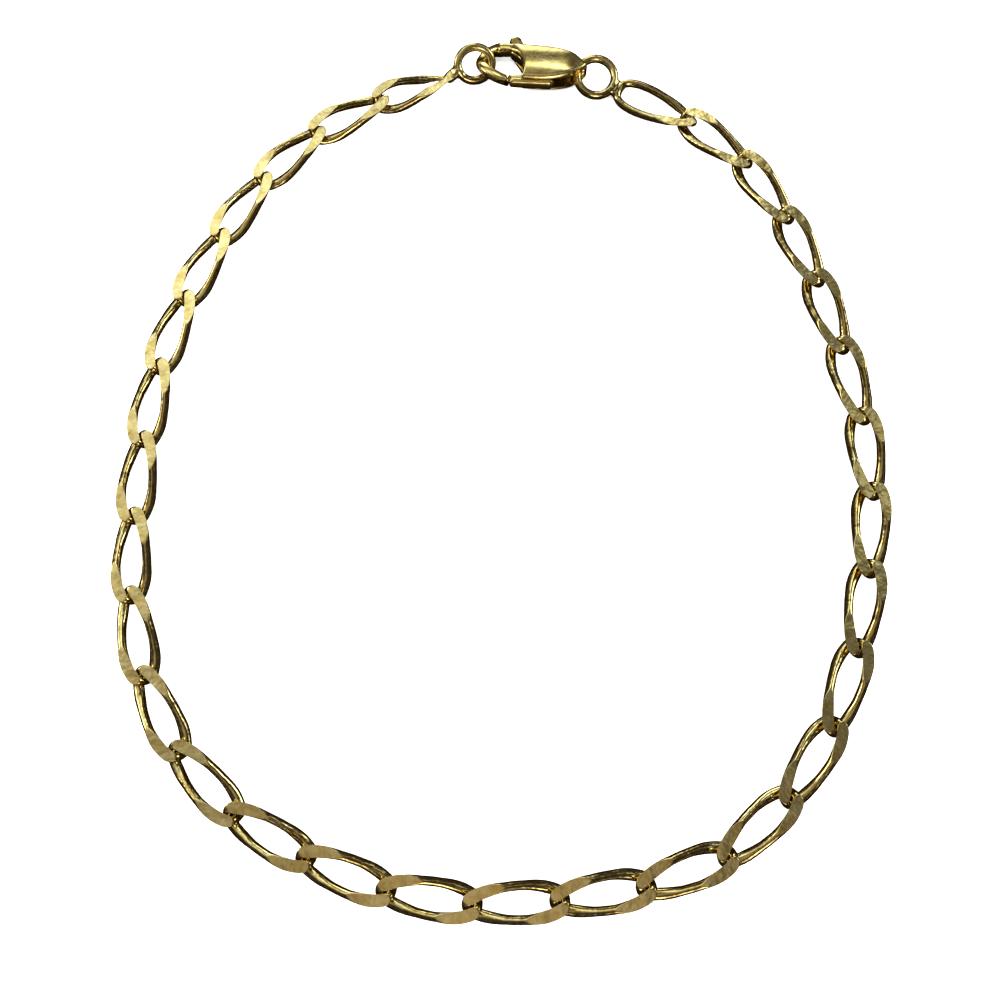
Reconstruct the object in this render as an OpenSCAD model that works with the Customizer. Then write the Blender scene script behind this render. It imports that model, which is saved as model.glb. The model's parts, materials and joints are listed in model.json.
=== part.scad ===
// Link bracelet: a closed loop of flat filed curb links with a lobster clasp, lying on a table.
// Millimetres, +Z up, the table at z = 0, the clasp at the far side (+Y).
// The origin is on the table under the middle of the loop.

/* [Chain] */
// Number of plain links between the two end links
link_count = 28; // [24:1:32]
// Length of a link over its wire
link_length = 7.42; // [7:0.02:8]
// Width of a link over its wire, before it is twisted
link_width = 2.82; // [2.7:0.02:3.2]
// Diameter of the wire that the links are bent from
link_wire = 0.64; // [0.5:0.02:0.66]
// How far each end of a link is twisted out of the link's own plane, in degrees
end_twist = 48; // [44:1:52]
// Thickness that is left after the chain is filed flat on both faces
chain_thickness = 1; // [0.9:0.02:1.1]
// Part of its radius by which the pressed wire spreads sideways where it is filed most
press_spread = 0.3; // [0:0.02:0.36]
// Running gap between the wires of linked links
link_gap = 0.07; // [0.06:0.01:0.14]
// How much closer together the links lie beside the clasp's tail, where the chain is slack, than at its hook
chain_slack = 0.18; // [0:0.02:0.2]

/* [End links] */
// Length of the end link beside the clasp's tail
tail_link_length = 7.5; // [7:0.05:8]
// Width of that link, which is a little wider than the plain ones
tail_link_width = 3.14; // [2.8:0.02:3.2]
// Twist of that link's far end, in degrees
tail_link_twist = 56; // [50:1:60]
// How late along that link its twist comes: 1 is evenly spread
tail_twist_delay = 2.4; // [1:0.1:3]
// Length of the end link beside the clasp's hook
hook_link_length = 7.45; // [7.2:0.05:8]
// Twist of that link's soldered end, in degrees
hook_link_twist = 66; // [56:1:70]
// Diameter of the wire of both rings
ring_wire = 0.68; // [0.6:0.02:0.72]
// Mean diameter of the round ring in the clasp's tail
tail_ring_diameter = 3.15; // [3.1:0.05:3.4]
// Slope of the ring in the clasp's tail, in degrees
tail_ring_slope = 12; // [8:1:14]
// How far that ring has slid round in the tail's hole, in degrees
tail_ring_slip = 8; // [0:1:14]
// Mean length of the worn oval ring on the clasp's hook
hook_ring_length = 2.96; // [2.9:0.02:3.1]
// Mean width of the worn oval ring on the clasp's hook
hook_ring_width = 2.54; // [2.4:0.02:2.8]
// Slope of the ring that climbs over the clasp's hook, in degrees
hook_ring_slope = 33; // [28:1:34]

/* [Clasp] */
// Width of the clasp's body
clasp_width = 3.7; // [3.5:0.05:4]
// Thickness of the clasp's body at its middle
clasp_thickness = 2.1; // [2:0.05:2.4]
// How far the crowned faces fall from the middle line to the body's edges
crown_fall = 0.35; // [0.2:0.05:0.5]
// Roll of the clasp on its crowned belly, tip of the hook up, in degrees
clasp_roll = 6; // [3:1:7]
// Length of the body from its widest line to the end of the tail
tail_reach = 5; // [4.9:0.02:5.6]
// Length from the widest line to the end of the hook
hook_reach = 4.36; // [4.1:0.02:4.6]
// Width of the hook's arm
hook_wire = 0.9; // [0.8:0.02:0.94]
// Thickness of the hook where the ring hangs
hook_thickness = 0.72; // [0.64:0.02:0.76]
// How far the hook's two arms lie below and above the body's middle plane
hook_swing = 0.34; // [0.2:0.02:0.36]
// Diameter of the hole that the tail's ring passes through
eye_bore = 1; // [0.9:0.02:1.1]
// Metal between that hole and the end of the tail
eye_wall = 0.2; // [0.2:0.01:0.4]
// Slope of the flare at both mouths of that hole, as its rise for each millimetre
eye_flare = 0.55; // [0.4:0.05:1]
// How far the body's front edge lies ahead of its widest line
body_front = 0.3; // [0.2:0.05:0.5]
// Length of the oval opening inside the hook
mouth_length = 3.2; // [3:0.05:3.4]
// Width of that oval, which is open on the gate's side
mouth_width = 4; // [3.8:0.05:4.2]
// Depth of the hook's arm where it leaves the body
arm_depth = 0.75; // [0.6:0.05:0.9]
// Length behind the widest line over which the body keeps its full thickness
full_length = 2.6; // [2:0.1:3]

/* [Lever] */
// Thickness of the lever
lever_thickness = 0.86; // [0.7:0.02:0.96]
// Gap between the lever and each wall of its slot
lever_gap = 0.06; // [0.04:0.01:0.1]
// Width of the lever's gate
gate_width = 0.84; // [0.7:0.02:0.9]
// Height of the thumb tab above the body's edge
tab_height = 1.05; // [0.8:0.05:1.2]
// Width of the thumb tab at its crest
tab_width = 0.84; // [0.7:0.02:1]
// Diameter of the rivet that the lever turns on
rivet_diameter = 0.7; // [0.6:0.02:0.8]
// How far the rivet lies behind the body's widest line
rivet_setback = 1.35; // [1.2:0.05:1.5]
// How far the rivet lies off the middle line, toward the gate
rivet_offset = 0.8; // [0.7:0.05:0.9]
// Radial gap between the rivet and the lever's bore
rivet_gap = 0.03; // [0.02:0.01:0.05]
// Radial gap between the rivet and its seats in the body
seat_gap = 0.01; // [0.01:0.005:0.02]
// Gap between the lever's gate and the tip of the hook when the clasp is shut
tip_gap = 0.07; // [0.06:0.01:0.2]
// How far the lever turns to open, in degrees
lever_travel = 14; // [10:1:15]

/* [Hidden] */
plain_name = function(i) str("link_", i < 10 ? "0" : "", i);

gold = [0.82, 0.66, 0.31];
bright_gold = [0.90, 0.76, 0.42];
$fn = 64;

// Stations along a link or an oval ring, and sides of its wire
stations = 16;
sides = 6;
// Roundness of a link's plan: 2 is an ellipse, more is squarer
oval_power = 3;
// How strongly the stations are drawn toward a link's tight ends, in degrees
station_draw = 12;
// Depth by which soldered or cast-on metal runs into what it joins
fused = 0.06;
half_thickness = chain_thickness / 2;
pitch = link_length - 2 * link_wire - link_gap;

// The lie of the bracelet on the table: a few round points of the loop, clockwise from the clasp's tail
route = [
    [8.4, 31.6], [17, 26.9], [21.1, 23.1], [24.4, 17], [27, 7.1], [28.1, -4.7], [24.9, -18.5],
    [19.5, -27.1], [11.4, -32.2], [-4, -33.3], [-15.1, -29.6], [-23, -23.4], [-27.4, -13], [-27.1, 2],
    [-24.3, 12.9], [-17.9, 23.5], [-10.7, 29], [1.4, 33.1]
];

// Small helpers
function sum(v, i = 0) = i < len(v) ? v[i] + sum(v, i + 1) : 0;
function unit(v) = v / norm(v);
function heading(v) = atan2(v.y, v.x);
function spin(p, a) = [p.x * cos(a) - p.y * sin(a), p.x * sin(a) + p.y * cos(a)];
function mix(a, b, f) = a + (b - a) * f;
function ease(f) = (1 - cos(180 * min(1, max(0, f)))) / 2;
function signed_power(v, p) = sign(v) * pow(abs(v), p);

// A smooth closed curve through the route's points
function smooth(a, b, c, d, f) =
    (2 * b + (c - a) * f + (2 * a - 5 * b + 4 * c - d) * f * f + (3 * b - a - 3 * c + d) * f * f * f) / 2;
curve_steps = 16;
turns = len(route);
curve = [for (i = [0:turns - 1], k = [0:curve_steps - 1])
    smooth(route[(i + turns - 1) % turns], route[i], route[(i + 1) % turns], route[(i + 2) % turns],
           k / curve_steps)];

// The point of the line from a to b that lies at distance r from p
function at_reach(p, a, b, r) =
    let (d = b - a, e = a - p, half = d * e, square = d * d, rest = e * e - r * r)
    a + d * ((sqrt(half * half - square * rest) - half) / square);
// Walks the curve, scaled by s, in straight reaches, and gives the point where each one ends
function curve_point(i, s) = curve[i % len(curve)] * s;
function last_within(p, i, r, s) = norm(curve_point(i + 1, s) - p) < r ? last_within(p, i + 1, r, s) : i;
function walk(reaches, s, p, i = 0, k = 0) =
    k == len(reaches) ? [p] :
    let (j = last_within(p, i, reaches[k], s),
         next = at_reach(p, curve_point(j, s), curve_point(j + 1, s), reaches[k]))
    concat([p], walk(reaches, s, next, j, k + 1));

// Straight reach of each rigid piece, from the eye of the clasp's tail round to the hook
bow_overlap = (link_wire + link_gap) / 2;
// Extra room where the first and last plain links turn sharply off the end links
end_slack = 0.08;
solder_reach = (link_wire + ring_wire) / 2 - fused;
tail_link_end = tail_ring_diameter / 2 + solder_reach + tail_link_length - link_wire
                - bow_overlap - end_slack;
ring_in_eye = spin([-tail_ring_diameter / 2, 0], tail_ring_slip);
tail_link_reach = norm([tail_link_end, 0] - ring_in_eye);
hook_seat = (hook_ring_length - ring_wire - hook_wire) / 2 - link_gap;
hook_link_end = hook_ring_length / 2 + solder_reach + hook_link_length - link_wire - bow_overlap - end_slack;
hook_link_reach = hook_seat + hook_link_end;
reaches = concat([tail_link_reach],
                 [for (i = [1:link_count]) pitch - chain_slack * (link_count - i) / (link_count - 1)],
                 [hook_link_reach]);

// Places in the clasp's own frame: x toward the tail, y toward the spine, origin on the body's widest line
// at half its thickness
half_width = clasp_width / 2;
half_clasp = clasp_thickness / 2;
rivet_at = [rivet_setback, -rivet_offset];
eye_at = [tail_reach - eye_wall - eye_bore / 2, 0];
hook_at = [hook_wire / 2 - hook_reach, 0.14];
clasp_run = norm(eye_at - hook_at);

// The route is scaled until the loop closes on the clasp
loop_length = sum(reaches) + clasp_run;
function closing(s, tries) =
    tries == 0 ? s :
    let (ends = walk(reaches, s, curve[0] * s), open = norm(ends[0] - ends[len(ends) - 1]))
    closing(s - (open - clasp_run) / loop_length, tries - 1);
curve_length = sum([for (i = [0:len(curve) - 1]) norm(curve[(i + 1) % len(curve)] - curve[i])]);
route_scale = closing(loop_length / curve_length, 6);
stops = walk(reaches, route_scale, curve[0] * route_scale);
tail_stop = stops[0];
hook_stop = stops[link_count + 2];
tail_turn = heading(stops[1] - tail_stop) - heading([tail_link_end, 0] - ring_in_eye);
tail_ring_stop = tail_stop - spin(ring_in_eye, tail_turn);
hook_turn = heading(hook_stop - stops[link_count + 1]);
clasp_turn = heading(tail_stop - hook_stop) - heading(eye_at - hook_at);

// Centre line of a link that lies along x: a rounded oblong, turned about x from twist_a at its -x end to
// twist_b. A delay over 1 keeps it flat for longer and then twists it faster.
function link_line(t, length, width, twist_a, twist_b, delay) =
    let (x = length / 2 * signed_power(cos(t), 2 / oval_power),
         y = width / 2 * signed_power(sin(t), 2 / oval_power),
         a = mix(twist_a, twist_b, pow(max(0, x / length + 0.5), delay)))
    [x, y * cos(a), y * sin(a)];
function station_angle(i) = let (t = 360 * i / stations) t - station_draw * sin(2 * t);

// One section of filed round wire about c, across direction d. Its upper and lower corners sit where the
// round meets the filed faces at z = half and z = -half, and the pressed metal spreads sideways there.
least_corner = 8;
most_corner = 60;
function corner_angle(share) = asin(max(sin(least_corner), min(sin(most_corner), share)));
function filed_section(c, d, r, half) =
    let (side = unit([-d.y, d.x, 0]),
         up = cross(d, side),
         top = (half - c.z) / up.z,
         low = (half + c.z) / up.z,
         spread = r * (1 + press_spread * max(0, min(1, 1 - min(top, low) / r))),
         a = corner_angle(top / r),
         b = corner_angle(low / r))
    [for (q = [0, a, 180 - a, 180, 180 + b, 360 - b])
        c + side * spread * cos(q) + up * max(-low, min(top, r * sin(q)))];
function link_points(length, twist_a, twist_b, width, delay) =
    let (l = length - link_wire, w = width - link_wire)
    [for (i = [0:stations - 1])
        let (t = station_angle(i),
             c = link_line(t, l, w, twist_a, twist_b, delay),
             d = link_line(t + 1, l, w, twist_a, twist_b, delay)
                 - link_line(t - 1, l, w, twist_a, twist_b, delay))
        each filed_section(c, unit(d), link_wire / 2, half_thickness)];

// Faces of a tube of n sections with m corners each: closed on itself, or with flat ends
function side_faces(a, b, m) = [for (k = [0:m - 1])
    let (l = (k + 1) % m) each [[a + k, b + l, a + l], [a + k, b + k, b + l]]];
function loop_faces(n, m) = [for (i = [0:n - 1]) each side_faces(i * m, (i + 1) % n * m, m)];
function bar_faces(n, m) = concat(
    [[for (k = [0:m - 1]) k], [for (k = [m - 1:-1:0]) (n - 1) * m + k]],
    [for (i = [0:n - 2]) each side_faces(i * m, (i + 1) * m, m)]);

// Where the links and rings lie
plain_places = [for (i = [1:link_count]) [(stops[i] + stops[i + 1]) / 2, heading(stops[i + 1] - stops[i])]];
tail_bow_at = tail_ring_diameter / 2 + solder_reach;
tail_link_tilt = 8;
tail_link_at = tail_bow_at + (tail_link_length - link_wire) / 2;
hook_ring_at = -hook_seat;
hook_bow_at = hook_ring_at - hook_ring_length / 2 - solder_reach;
hook_link_at = hook_bow_at - (hook_link_length - link_wire) / 2;

// Heights: the belly of the rolled clasp and the low sides of the rings come down to the table
crown_radius = (half_width * half_width + crown_fall * crown_fall) / (2 * crown_fall);
clasp_height = crown_radius - (crown_radius - half_clasp) * cos(clasp_roll);
tail_ring_uphill = 135;
function tail_ring_rise(a) = tail_ring_diameter / 2 * sin(tail_ring_slope) * cos(a - tail_ring_uphill);
tail_ring_height = clasp_height - tail_ring_rise(180 + tail_ring_slip);
table_gap = 0.06;
hook_ring_height = table_gap + ring_wire / 2 + hook_ring_width / 2 * sin(hook_ring_slope);

// The thumb tab, in the clasp's frame
tab_at = [-1.2, half_width + tab_height - tab_width / 2];

// The origin is under the middle of the whole bracelet's box
plain_link_points = link_points(link_length, end_twist, -end_twist, link_width, 1);
flat_points = [for (place = plain_places, p = plain_link_points) spin(p, place[1]) + place[0]];
far_side = tail_stop.y + spin(tab_at - eye_at, clasp_turn).y + tab_width / 2;
box_middle = [
    (min([for (p = flat_points) p.x]) + max([for (p = flat_points) p.x])) / 2,
    (min([for (p = flat_points) p.y]) + far_side) / 2
];
module placed(at, turn, height)
    translate([at.x - box_middle.x, at.y - box_middle.y, height]) rotate(turn) children();

module link_wire_loop(length, twist_a, twist_b, width = link_width, delay = 1)
    polyhedron(link_points(length, twist_a, twist_b, width, delay), loop_faces(stations, sides),
               convexity = 4);

module plain_link(i)
    color(gold)
        placed(plain_places[i - 1][0], plain_places[i - 1][1], half_thickness)
            link_wire_loop(link_length, end_twist, -end_twist);

// A fillet of solder: a web between two pairs of balls
module solder_web(a, b, ball) hull() for (p = [a, b], s = [-1, 1])
    translate([p.x, s * p.y, p.z]) sphere(d = ball, $fn = 10);

// The end link beside the clasp's tail: its flat near end is soldered to a round ring that hangs in the eye
module end_link_tail() {
    lift = tail_ring_height - half_thickness;
    color(gold) placed(tail_ring_stop, tail_turn, half_thickness) {
        translate([tail_link_at, 0, 0])
            link_wire_loop(tail_link_length, tail_link_tilt, -tail_link_twist,
                           tail_link_width, tail_twist_delay);
        translate([0, 0, lift])
            rotate(tail_ring_uphill) rotate([0, -tail_ring_slope, 0])
                rotate_extrude() translate([tail_ring_diameter / 2, 0]) circle(d = ring_wire);
        solder_web([tail_ring_diameter / 2, 0.5, lift + tail_ring_rise(0)], [tail_bow_at, 0.6, 0], 0.5);
    }
}

// The end link beside the clasp's hook: its pinched end is soldered to an oval ring that climbs over the
// hook's upper arm and passes under its lower arm
function oval_ring_line(t) = [
    hook_ring_length / 2 * cos(t),
    hook_ring_width / 2 * sin(t) * cos(hook_ring_slope),
    hook_ring_width / 2 * sin(t) * sin(hook_ring_slope)
];
oval_ring_points = [for (i = [0:stations - 1])
    let (t = 360 * i / stations)
    each filed_section(oval_ring_line(t), unit(oval_ring_line(t + 1) - oval_ring_line(t - 1)),
                       ring_wire / 2, clasp_thickness)];
module end_link_hook() {
    lift = hook_ring_height - half_thickness;
    color(gold) placed(hook_stop, hook_turn, half_thickness) {
        translate([hook_link_at, 0, 0]) link_wire_loop(hook_link_length, end_twist, -hook_link_twist);
        translate([hook_ring_at, 0, lift])
            polyhedron(oval_ring_points, loop_faces(stations, sides), convexity = 4);
        solder_web([hook_bow_at + solder_reach, 0.3, lift], [hook_bow_at - 0.3, 0.1, 0], 0.6);
    }
}

// Everything of the clasp is drawn in its own frame and laid down by this
module clasp_frame()
    placed(tail_stop, clasp_turn, clasp_height)
        rotate([-clasp_roll, 0, 0]) translate([-eye_at.x, -eye_at.y, 0]) children();

// Outline of the clasp: half its width at x, full at the widest line and rounded off toward tail and hook
function edge(x) =
    x > 0 ? half_width * pow(max(0, 1 - pow(x / tail_reach, 2.8)), 1 / 1.3)
          : half_width * pow(max(0, 1 - pow(-x / hook_reach, 4)), 1 / 2.2);
arm_root = -2.3;
gate_radius = 2.97;
outline_steps = 24;
outline_x = [for (i = [0:outline_steps]) mix(arm_root, tail_reach, sin(90 * i / outline_steps))];
body_outline = concat([for (x = outline_x) [x, edge(x)]],
                      [for (i = [outline_steps - 1:-1:0]) [outline_x[i], -edge(outline_x[i])]]);

// Half the body's thickness at x: full in the middle, thinner at the arm's root and at the tail
arm_half = 0.5;
tail_half = eye_bore / 2 + 0.3;
function half_height(x) =
    x < 0 ? mix(arm_half, half_clasp, ease((x - arm_root) / -arm_root))
          : mix(half_clasp, tail_half, ease((x - full_length) / (tail_reach - full_length)));
side_x = [for (i = [0:outline_steps]) mix(arm_root, tail_reach, i / outline_steps)];
side_profile = concat([for (x = side_x) [x, half_height(x)]],
                      [for (i = [outline_steps:-1:0]) [side_x[i], -half_height(side_x[i])]]);

// The opening inside the hook: an ellipse whose tail side is the body's front edge
opening_size = [mouth_length, mouth_width] / 2;
opening_at = [-body_front - opening_size.x, half_width - arm_depth - opening_size.y];
opening_outline = [for (i = [0:31]) let (t = 360 * i / 32)
    opening_at + [opening_size.x * cos(t), opening_size.y * sin(t)]];

// The slot that the lever works in: open at the spine under the tab, as far back as the lever's neck turns
// when the clasp opens, closed behind that, and open along the gate
neck_at = [tab_at.x + 0.2, half_width - 0.35];
neck_width = 1.3;
neck_room = 0.34;
open_neck = rivet_at + spin(neck_at - rivet_at, -lever_travel);
slot_front = -1.75;
slot_back = open_neck.x + (neck_width + 2 * neck_room) / 2;
slot_end = rivet_at.x + 1.95;
slot_ceiling = 0.9;
past_edge = half_width + 1;
slot_outline = [
    [slot_front, past_edge], [slot_back, past_edge], [slot_back, half_width - 0.25],
    [rivet_at.x + 0.85, rivet_at.y + 1], [slot_end, rivet_at.y + 0.5], [slot_end, -past_edge],
    [arm_root - 0.7, -past_edge], [arm_root - 0.7, slot_ceiling], [slot_front, slot_ceiling]
];
slot_height = lever_thickness + 2 * lever_gap;

module crowned_faces() intersection_for(s = [-1, 1])
    translate([0, 0, s * (crown_radius - half_clasp)])
        rotate([0, 90, 0]) cylinder(r = crown_radius, h = 4 * tail_reach, center = true);
module crowned_block() intersection() {
    linear_extrude(2 * clasp_thickness, center = true) difference() {
        polygon(body_outline);
        polygon(opening_outline);
    }
    rotate([90, 0, 0]) linear_extrude(2 * clasp_width, center = true) polygon(side_profile);
    crowned_faces();
}

// The hook: a bar along the clasp's outline, thinned where the ring hangs, its arms a little below and above
hook_shape = [
    [-0.36, 1.08, 0.1], [-0.5, 1.14, 0.1], [-0.66, 1.2, -0.3], [-0.82, 1.16, -1], [-0.94, 0.84, -1.3],
    [-1, 0.24, -0.6], [-0.98, -0.24, 0.4], [-0.87, -0.7, 0.9], [-0.72, -1.04, 1], [-0.56, -1.23, 0.8],
    [-0.42, -1.31, 0.5], [-0.28, -1.36, 0.2]
];
hook_scale = [hook_reach - hook_wire / 2, half_width - hook_wire / 2, hook_swing];
hook_knots = [for (p = hook_shape) [p.x * hook_scale.x, p.y * hook_scale.y, p.z * hook_scale.z]];
hook_sections = 14;
hook_sides = 8;
function hook_line(f) =
    let (n = len(hook_knots), s = 1 + max(0, min(0.9999, f)) * (n - 3), i = floor(s))
    smooth(hook_knots[i - 1], hook_knots[i], hook_knots[i + 1], hook_knots[i + 2], s - i);
function hook_section(f) =
    let (c = hook_line(f),
         d = hook_line(f + 0.01) - hook_line(f - 0.01),
         side = unit([-d.y, d.x, 0]),
         up = unit(cross(d, side)),
         w = hook_wire * mix(1, 0.9, ease((f - 0.8) / 0.2)),
         h = mix(2 * arm_half, hook_thickness, ease(f / 0.25)))
    [for (k = [0:hook_sides - 1])
        let (q = 360 * (k + 0.5) / hook_sides)
        c + (side * w * cos(q) + up * h * sin(q)) / 2 / cos(180 / hook_sides)];
module hook_bar() difference() {
    polyhedron([for (i = [0:hook_sections - 1]) each hook_section(i / (hook_sections - 1))],
               bar_faces(hook_sections, hook_sides), convexity = 4);
    translate(rivet_at) cylinder(r = gate_radius + tip_gap, h = 2 * clasp_thickness, center = true);
}

// The hole in the tail, flared at both mouths
eye_straight = 0.1;
module eye_hole() {
    rotate([90, 0, 0]) cylinder(d = eye_bore, h = 2 * clasp_width, center = true);
    for (s = [-1, 1]) rotate([-90 * s, 0, 0])
        translate([0, 0, eye_straight])
            cylinder(d1 = eye_bore, d2 = eye_bore + 2 * eye_flare * half_width, h = half_width);
}

module clasp_body()
    color(bright_gold) clasp_frame() difference() {
        union() {
            difference() {
                crowned_block();
                linear_extrude(slot_height, center = true) polygon(slot_outline);
            }
            hook_bar();
        }
        translate([eye_at.x, 0, 0]) eye_hole();
        translate(rivet_at)
            cylinder(d = rivet_diameter + 2 * seat_gap, h = 2 * clasp_thickness, center = true);
    }

// The lever: a gate along the mouth, a hub on the rivet and a neck that ends in the thumb tab
gate_proud = 0.22;
gate_y = -half_width - gate_proud + gate_width / 2;
gate_tip = [rivet_at.x - gate_radius + 0.3, gate_y];
gate_heel = [rivet_at.x + 0.55, gate_y + 0.12];
hub_diameter = 1.24;
module rounded_bar(a, b, da, db) hull() {
    translate(a) circle(d = da, $fn = 32);
    translate(b) circle(d = db, $fn = 32);
}
module clasp_lever()
    color(bright_gold) clasp_frame() difference() {
        linear_extrude(lever_thickness, center = true) intersection() {
            union() {
                rounded_bar(tab_at, neck_at, tab_width, neck_width);
                rounded_bar(neck_at + [0.15, -0.2], rivet_at, neck_width - 0.3, hub_diameter);
                rounded_bar(gate_tip, gate_heel, gate_width, gate_width);
            }
            union() {
                translate(rivet_at) circle(r = gate_radius);
                translate([-hook_reach, 0]) square([2 * hook_reach, clasp_width]);
            }
        }
        translate(rivet_at)
            cylinder(d = rivet_diameter + 2 * rivet_gap, h = 2 * clasp_thickness, center = true);
    }

// The rivet ends just under the crowned faces
rivet_sink = 0.12;
module clasp_rivet()
    color(gold) clasp_frame()
        translate(rivet_at)
            cylinder(d = rivet_diameter, h = clasp_thickness - 2 * rivet_sink, center = true);

clasp_body();
clasp_lever();
clasp_rivet();
end_link_tail();
end_link_hook();
for (i = [1:link_count]) plain_link(i);
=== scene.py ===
"""Looks of the link bracelet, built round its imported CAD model.

Plain links are wires carried along a twisted oblong and filed flat. The clasp, its lever and the two end links
are skins of a distance field, so that cast and soldered metal runs together. Lengths are in millimetres until a
mesh is made.
"""
import json
import math

import bpy
import numpy as np
from mathutils import Matrix


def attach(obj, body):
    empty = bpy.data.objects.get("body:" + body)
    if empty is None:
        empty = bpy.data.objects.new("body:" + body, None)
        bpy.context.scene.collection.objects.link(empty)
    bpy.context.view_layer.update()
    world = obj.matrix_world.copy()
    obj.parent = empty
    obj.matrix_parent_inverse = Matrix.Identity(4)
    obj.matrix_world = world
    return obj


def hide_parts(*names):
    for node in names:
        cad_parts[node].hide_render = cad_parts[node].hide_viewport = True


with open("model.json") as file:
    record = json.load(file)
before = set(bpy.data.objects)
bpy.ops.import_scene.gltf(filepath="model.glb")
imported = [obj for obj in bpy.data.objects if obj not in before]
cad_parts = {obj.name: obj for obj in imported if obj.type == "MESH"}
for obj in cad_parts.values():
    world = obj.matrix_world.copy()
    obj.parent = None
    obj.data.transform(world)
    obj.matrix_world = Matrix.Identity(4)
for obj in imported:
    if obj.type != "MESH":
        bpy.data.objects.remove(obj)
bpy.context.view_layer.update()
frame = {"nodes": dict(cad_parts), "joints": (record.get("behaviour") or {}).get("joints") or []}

MM = 0.001

# Sizes of the chain, the same as in the part's source
LINK_COUNT = 28
LINK_LENGTH, LINK_WIDTH, LINK_WIRE = 7.42, 2.82, 0.64
LINK_GAP = 0.07
CHAIN_SLACK = 0.18
END_TWIST = 48
OVAL_POWER = 3.0
FLAT = 0.5                # half the thickness that is left after filing
PRESS_SPREAD = 0.3
PITCH = LINK_LENGTH - 2 * LINK_WIRE - LINK_GAP
RING_WIRE = 0.68
EDGE = 0.045              # width over which a filed edge is rubbed round
LEAST_CUT, MOST_CUT = 8, 76   # a flat's edge stays between these angles round the wire, in degrees
CROWDING = 0.55           # how far the corners of a section crowd at the edges of its flats
SOLDER_BLEND, WEB_BLEND = 0.3, 0.25
SOLDER_REACH = (LINK_WIRE + RING_WIRE) / 2 - 0.06
BOW_OVERLAP = (LINK_WIRE + LINK_GAP) / 2
END_SLACK = 0.08

# Fineness of the meshes
LINK_STEPS, CORNERS = 132, 52          # points along a plain link's wire, and round it
END_LINK_STEPS, RING_STEPS, HOOK_STEPS = 110, 48, 70
CHAIN_STEP, CLASP_STEP = 0.05, 0.045   # grid steps of the skins
RIVET_ROWS, RIVET_COLUMNS = 41, 48

TAIL_LINK = dict(length=7.5, width=3.14, twist_a=8, twist_b=-56, delay=2.4)
TAIL_RING, TAIL_SLOPE, TAIL_SLIP, TAIL_UPHILL = 3.15, 12, 8, 135
HOOK_LINK = dict(length=7.45, width=LINK_WIDTH, twist_a=END_TWIST, twist_b=-66, delay=1.0)
HOOK_RING_LENGTH, HOOK_RING_WIDTH, HOOK_SLOPE = 2.96, 2.54, 33

# Sizes of the clasp, in its own frame: x toward the tail, y toward the spine
HALF_WIDTH, HALF_CLASP = 1.85, 1.05
CROWN_FALL = 0.35
CROWN_RADIUS = (HALF_WIDTH ** 2 + CROWN_FALL ** 2) / (2 * CROWN_FALL)
TAIL_REACH, HOOK_REACH = 5.0, 4.36
TAIL_POWERS, NOSE_POWERS = (2.8, 1.3), (4, 2.2)
HOOK_WIRE, HOOK_THICKNESS, HOOK_SWING = 0.9, 0.72, 0.34
HOOK_POWER = 2.5
ARM_ROOT, ARM_HALF = -2.3, 0.5
TAIL_HALF, TAIL_TAPER_AT = 0.8, 2.6
OPENING_AT, OPENING_SIZE = (-1.9, -0.9), (1.6, 2.0)
RIVET_AT = np.array([1.35, -0.8, 0])
RIVET_RADIUS, RIVET_GAP, SEAT_GAP = 0.35, 0.03, 0.01
SEAT_DEPTH = 0.3          # depth of the rivet's seats, which are peened shut and polished over
EYE_AT = np.array([4.3, 0, 0])
EYE_RADIUS, EYE_STRAIGHT, EYE_FLARE = 0.5, 0.1, 0.32
HOOK_AT = np.array([HOOK_WIRE / 2 - HOOK_REACH, 0.14, 0])
LEVER_HALF, LEVER_GAP = 0.43, 0.06
GATE_RADIUS, TIP_GAP = 2.97, 0.07
TAB_AT = (-1.2, 2.39)
GATE_PROUD = 0.26


# ---- frames ----

def spin(degrees):
    """Turn about the upright axis, as a matrix."""
    a = math.radians(degrees)
    return np.array([[math.cos(a), -math.sin(a), 0], [math.sin(a), math.cos(a), 0], [0, 0, 1]])


def tilt(degrees):
    """Turn about the x axis, as a matrix."""
    a = math.radians(degrees)
    return np.array([[1, 0, 0], [0, math.cos(a), -math.sin(a)], [0, math.sin(a), math.cos(a)]])


def heading(v):
    """Direction of a vector in plan, in degrees."""
    return math.degrees(math.atan2(v[1], v[0]))


def node_points(name):
    """The corner points of a CAD node, each once, in millimetres."""
    mesh = frame["nodes"][name].data
    co = np.empty(len(mesh.vertices) * 3)
    mesh.vertices.foreach_get("co", co)
    return np.unique(np.round(co.reshape(-1, 3) / MM, 5), axis=0)


def lie_of_link(name):
    """Middle of a plain link and the direction of its long axis: the middle of its box, and the main axis of
    its corner points in plan, at half the angle of (2 sum xy, sum xx - sum yy)."""
    p = node_points(name)
    middle = (p.min(0) + p.max(0)) / 2
    x, y = (p - middle)[:, 0], (p - middle)[:, 1]
    a = 0.5 * math.atan2(2 * (x * y).sum(), (x * x - y * y).sum())
    return middle, np.array([math.cos(a), math.sin(a), 0])


# The clasp's frame comes from the lever's hinge: its axis gives the turn and the roll, its pivot the place
hinge = frame["joints"][0]
upright = -np.array(hinge["axis"]) / np.linalg.norm(hinge["axis"])
clasp_turn = math.degrees(math.atan2(-upright[0], upright[1]))
clasp_roll = math.degrees(math.acos(upright[2]))
CLASP_TURN = spin(clasp_turn) @ tilt(-clasp_roll)
CLASP_AT = np.array(hinge["pos_m"]) / MM - CLASP_TURN @ RIVET_AT

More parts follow.
